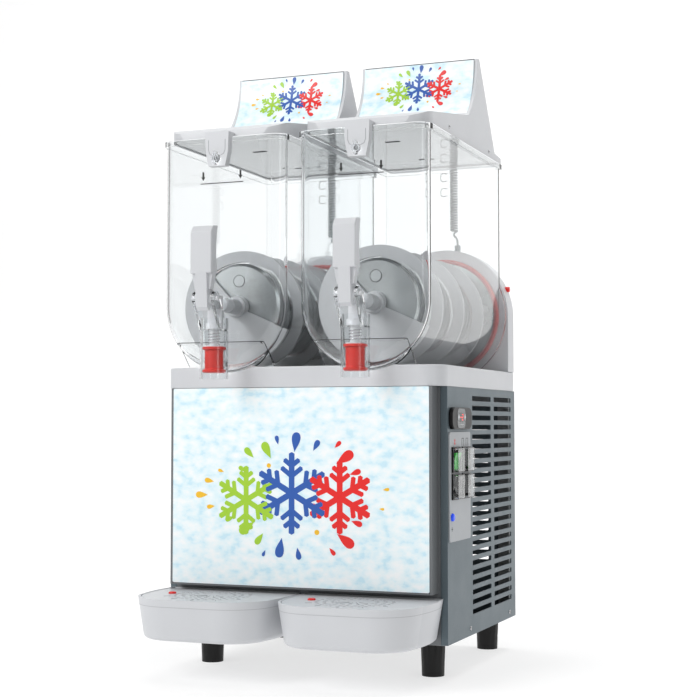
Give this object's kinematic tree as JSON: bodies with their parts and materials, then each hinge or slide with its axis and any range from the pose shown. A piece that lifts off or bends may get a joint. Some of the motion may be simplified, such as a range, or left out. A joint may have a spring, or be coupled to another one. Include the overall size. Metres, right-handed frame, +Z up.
{
  "type": "slush machine",
  "caption": "Countertop slush machine with clear bowls over cooled drums, turning augers, lever taps, hinged lids with lit headers and pull-off drip trays",
  "frame": {"origin": "on the floor, under the middle of the machine", "axes": "+X to the machine's right seen from the front, -Y out of the front with the taps, +Z up"},
  "size_m": [0.3968, 0.4624, 0.83],
  "materials": {
    "steel_panel": "satin",
    "frame_metal": "satin",
    "galvanised": "satin",
    "white_plastic": "satin",
    "graphic_panel": "gloss",
    "clear_plastic": "gloss",
    "black_rubber": "matte",
    "red_rubber": "satin",
    "stainless": "brushed",
    "auger_plastic": "satin",
    "black_enamel": "gloss",
    "aluminium": "satin",
    "black_plastic": "satin",
    "plate_grey": "satin",
    "green_lens": "gloss",
    "blue_lens": "gloss",
    "spring_steel": "polished",
    "cord_grey": "satin",
    "red_plastic": "gloss"
  },
  "bodies": {
    "cabinet": {"side_panel_left": "steel_panel", "side_panel_right": "steel_panel", "rear_panel": "steel_panel", "front_frame": "frame_metal", "chassis": "galvanised", "deck": "white_plastic", "rear_housing": "white_plastic", "auger_bushes": "white_plastic", "front_panel": "graphic_panel", "bowl_left": "clear_plastic", "bowl_right": "clear_plastic", "feet": "black_rubber", "bowl_seals": "red_rubber", "evaporators": "stainless", "compressor": "black_enamel", "condenser": "aluminium", "gear_motors": "aluminium", "fan_motor": "black_plastic", "thermostat": "black_plastic", "switch_frames": "black_plastic", "power_gland": "black_plastic", "control_plate": "plate_grey", "status_lamp": "blue_lens", "tap_spring_left": "spring_steel", "tap_spring_right": "spring_steel", "cord_coil_left": "cord_grey", "cord_coil_right": "cord_grey", "cord_tail_left": "cord_grey", "cord_tail_right": "cord_grey", "cord_plugs": "cord_grey"},
    "fan": {"fan_blade": "black_plastic"},
    "release_button": {"release_button": "red_plastic"},
    "rocker_power": {"rocker_power": "green_lens"},
    "rocker_light": {"rocker_light": "black_plastic"},
    "rocker_auger_left": {"rocker_auger_left": "black_plastic"},
    "rocker_auger_right": {"rocker_auger_right": "black_plastic"},
    "auger_left": {"auger_left": "auger_plastic", "drive_shaft_left": "stainless"},
    "tap_handle_left": {"tap_handle_left": "white_plastic"},
    "piston_left": {"piston_left": "white_plastic", "piston_seal_left": "red_rubber"},
    "lid_left": {"lid_left": "white_plastic", "lid_cover_left": "clear_plastic", "topper_panel_left": "graphic_panel"},
    "lid_lock_left": {"lid_lock_left": "clear_plastic"},
    "drip_tray_left": {"drip_tray_left": "white_plastic", "drip_grille_left": "white_plastic"},
    "tray_float_left": {"tray_float_left": "red_plastic"},
    "auger_right": {"auger_right": "auger_plastic", "drive_shaft_right": "stainless"},
    "tap_handle_right": {"tap_handle_right": "white_plastic"},
    "piston_right": {"piston_right": "white_plastic", "piston_seal_right": "red_rubber"},
    "lid_right": {"lid_right": "white_plastic", "lid_cover_right": "clear_plastic", "topper_panel_right": "graphic_panel"},
    "lid_lock_right": {"lid_lock_right": "clear_plastic"},
    "drip_tray_right": {"drip_tray_right": "white_plastic", "drip_grille_right": "white_plastic"},
    "tray_float_right": {"tray_float_right": "red_plastic"}
  },
  "joints": [
    {"name": "fan_spin", "type": "hinge", "parent": "cabinet", "child": "fan", "pos_m": [-0.128, 0.04, 0.165], "axis": [1, 0, 0], "continuous": true},
    {"name": "auger_left_spin", "type": "hinge", "parent": "cabinet", "child": "auger_left", "pos_m": [-0.0975, 0, 0.478], "axis": [0, 1, 0], "continuous": true},
    {"name": "tap_left_lever", "type": "hinge", "parent": "cabinet", "child": "tap_handle_left", "pos_m": [-0.0975, -0.182, 0.482], "axis": [1, 0, 0], "range_deg": [0, 37], "stiffness_Nm_per_rad": 0.5, "springref_deg": -17.19},
    {"name": "tap_left_piston", "type": "slide", "parent": "cabinet", "child": "piston_left", "axis": [0, 0, 1], "range_m": [0, 0.0153], "deforming": ["tap_spring_left"]},
    {"name": "lid_left_hinge", "type": "hinge", "parent": "cabinet", "child": "lid_left", "pos_m": [-0.0975, 0.213, 0.6973], "axis": [-1, 0, 0], "range_deg": [0, 75], "deforming": ["cord_coil_left"]},
    {"name": "lid_left_lock", "type": "hinge", "parent": "lid_left", "child": "lid_lock_left", "pos_m": [-0.0975, -0.14, 0.667], "axis": [0, 1, 0], "range_deg": [0, 90]},
    {"name": "tray_left_slide", "type": "slide", "parent": "cabinet", "child": "drip_tray_left", "axis": [0, -1, 0], "range_m": [0, 0.12]},
    {"name": "tray_left_float", "type": "slide", "parent": "drip_tray_left", "child": "tray_float_left", "axis": [0, 0, 1], "range_m": [0, 0.008]},
    {"name": "auger_right_spin", "type": "hinge", "parent": "cabinet", "child": "auger_right", "pos_m": [0.0975, 0, 0.478], "axis": [0, 1, 0], "continuous": true},
    {"name": "tap_right_lever", "type": "hinge", "parent": "cabinet", "child": "tap_handle_right", "pos_m": [0.0975, -0.182, 0.482], "axis": [1, 0, 0], "range_deg": [0, 37], "stiffness_Nm_per_rad": 0.5, "springref_deg": -17.19},
    {"name": "tap_right_piston", "type": "slide", "parent": "cabinet", "child": "piston_right", "axis": [0, 0, 1], "range_m": [0, 0.0153], "deforming": ["tap_spring_right"]},
    {"name": "lid_right_hinge", "type": "hinge", "parent": "cabinet", "child": "lid_right", "pos_m": [0.0975, 0.213, 0.6973], "axis": [-1, 0, 0], "range_deg": [0, 75], "deforming": ["cord_coil_right"]},
    {"name": "lid_right_lock", "type": "hinge", "parent": "lid_right", "child": "lid_lock_right", "pos_m": [0.0975, -0.14, 0.667], "axis": [0, 1, 0], "range_deg": [0, 90]},
    {"name": "tray_right_slide", "type": "slide", "parent": "cabinet", "child": "drip_tray_right", "axis": [0, -1, 0], "range_m": [0, 0.12]},
    {"name": "tray_right_float", "type": "slide", "parent": "drip_tray_right", "child": "tray_float_right", "axis": [0, 0, 1], "range_m": [0, 0.008]},
    {"name": "switch_power", "type": "hinge", "parent": "cabinet", "child": "rocker_power", "pos_m": [0.19, -0.063, 0.277], "axis": [0, 1, 0], "range_deg": [-20, 0]},
    {"name": "switch_light", "type": "hinge", "parent": "cabinet", "child": "rocker_light", "pos_m": [0.19, -0.021, 0.277], "axis": [0, 1, 0], "range_deg": [0, 20]},
    {"name": "switch_auger_left", "type": "hinge", "parent": "cabinet", "child": "rocker_auger_left", "pos_m": [0.19, -0.063, 0.243], "axis": [0, 1, 0], "range_deg": [0, 20]},
    {"name": "switch_auger_right", "type": "hinge", "parent": "cabinet", "child": "rocker_auger_right", "pos_m": [0.19, -0.021, 0.243], "axis": [0, 1, 0], "range_deg": [0, 20]},
    {"name": "release_button_press", "type": "slide", "parent": "cabinet", "child": "release_button", "axis": [-1, 0, 0], "range_m": [0, 0.003], "stiffness_N_per_m": 300}
  ],
  "couplings": [
    {"joint": "tap_left_piston", "follows": "tap_left_lever", "m_per_rad": 0.02358},
    {"joint": "tap_right_piston", "follows": "tap_right_lever", "m_per_rad": 0.02358}
  ]
}
